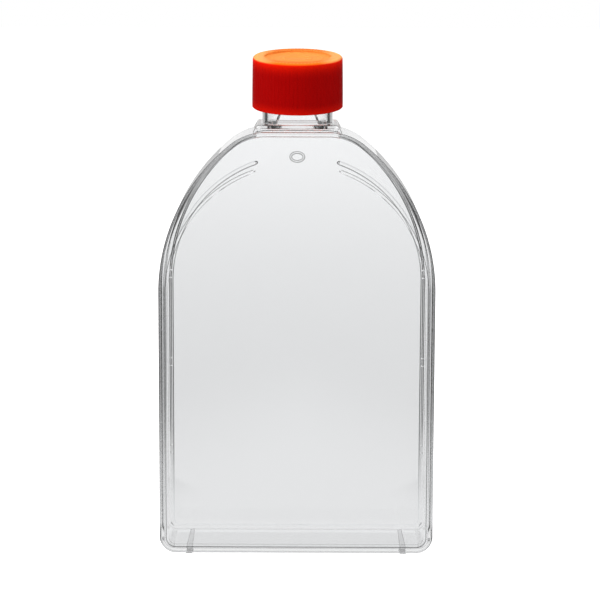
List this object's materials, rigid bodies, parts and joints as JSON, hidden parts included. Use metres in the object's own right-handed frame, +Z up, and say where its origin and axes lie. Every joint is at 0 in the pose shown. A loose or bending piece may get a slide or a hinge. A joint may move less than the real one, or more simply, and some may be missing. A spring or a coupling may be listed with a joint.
{
  "type": "cell culture flask",
  "caption": "Clear flat culture flask with an arched shoulder, a leaning round neck, a welded growth plate and an orange screw cap over a sealing liner.",
  "frame": {"origin": "centre of the end wall's outer face, halfway between the two broad faces; two short feet reach 0.4 mm below it", "axes": "+Z up towards the neck with the flask standing on its end wall, +Y towards the growth side, +X across the flask; the neck leans towards -Y"},
  "size_m": [0.117, 0.0422, 0.2143],
  "materials": {
    "clear_body": "clear moulded polystyrene, polished",
    "clear_plate": "clear moulded polystyrene, polished",
    "liner": "white foamed polyethylene disc",
    "cap": "orange moulded polyethylene, satin"
  },
  "bodies": {
    "flask": {"upper_body": "clear_body", "growth_plate": "clear_plate"},
    "liner": {"cap_liner": "liner"},
    "cap": {"screw_cap": "cap"}
  },
  "joints": [
    {"name": "cap_lift", "type": "slide", "parent": "flask", "child": "liner", "axis": [0, -0.1305, 0.9914], "range_m": [0, 0.0181]},
    {"name": "cap_turn", "type": "hinge", "parent": "liner", "child": "cap", "pos_m": [0, 0, 0.1806], "axis": [0, -0.1305, 0.9914], "range_deg": [0, 1620]}
  ],
  "couplings": [
    {"joint": "cap_lift", "follows": "cap_turn", "m_per_rad": 0.00063662}
  ]
}
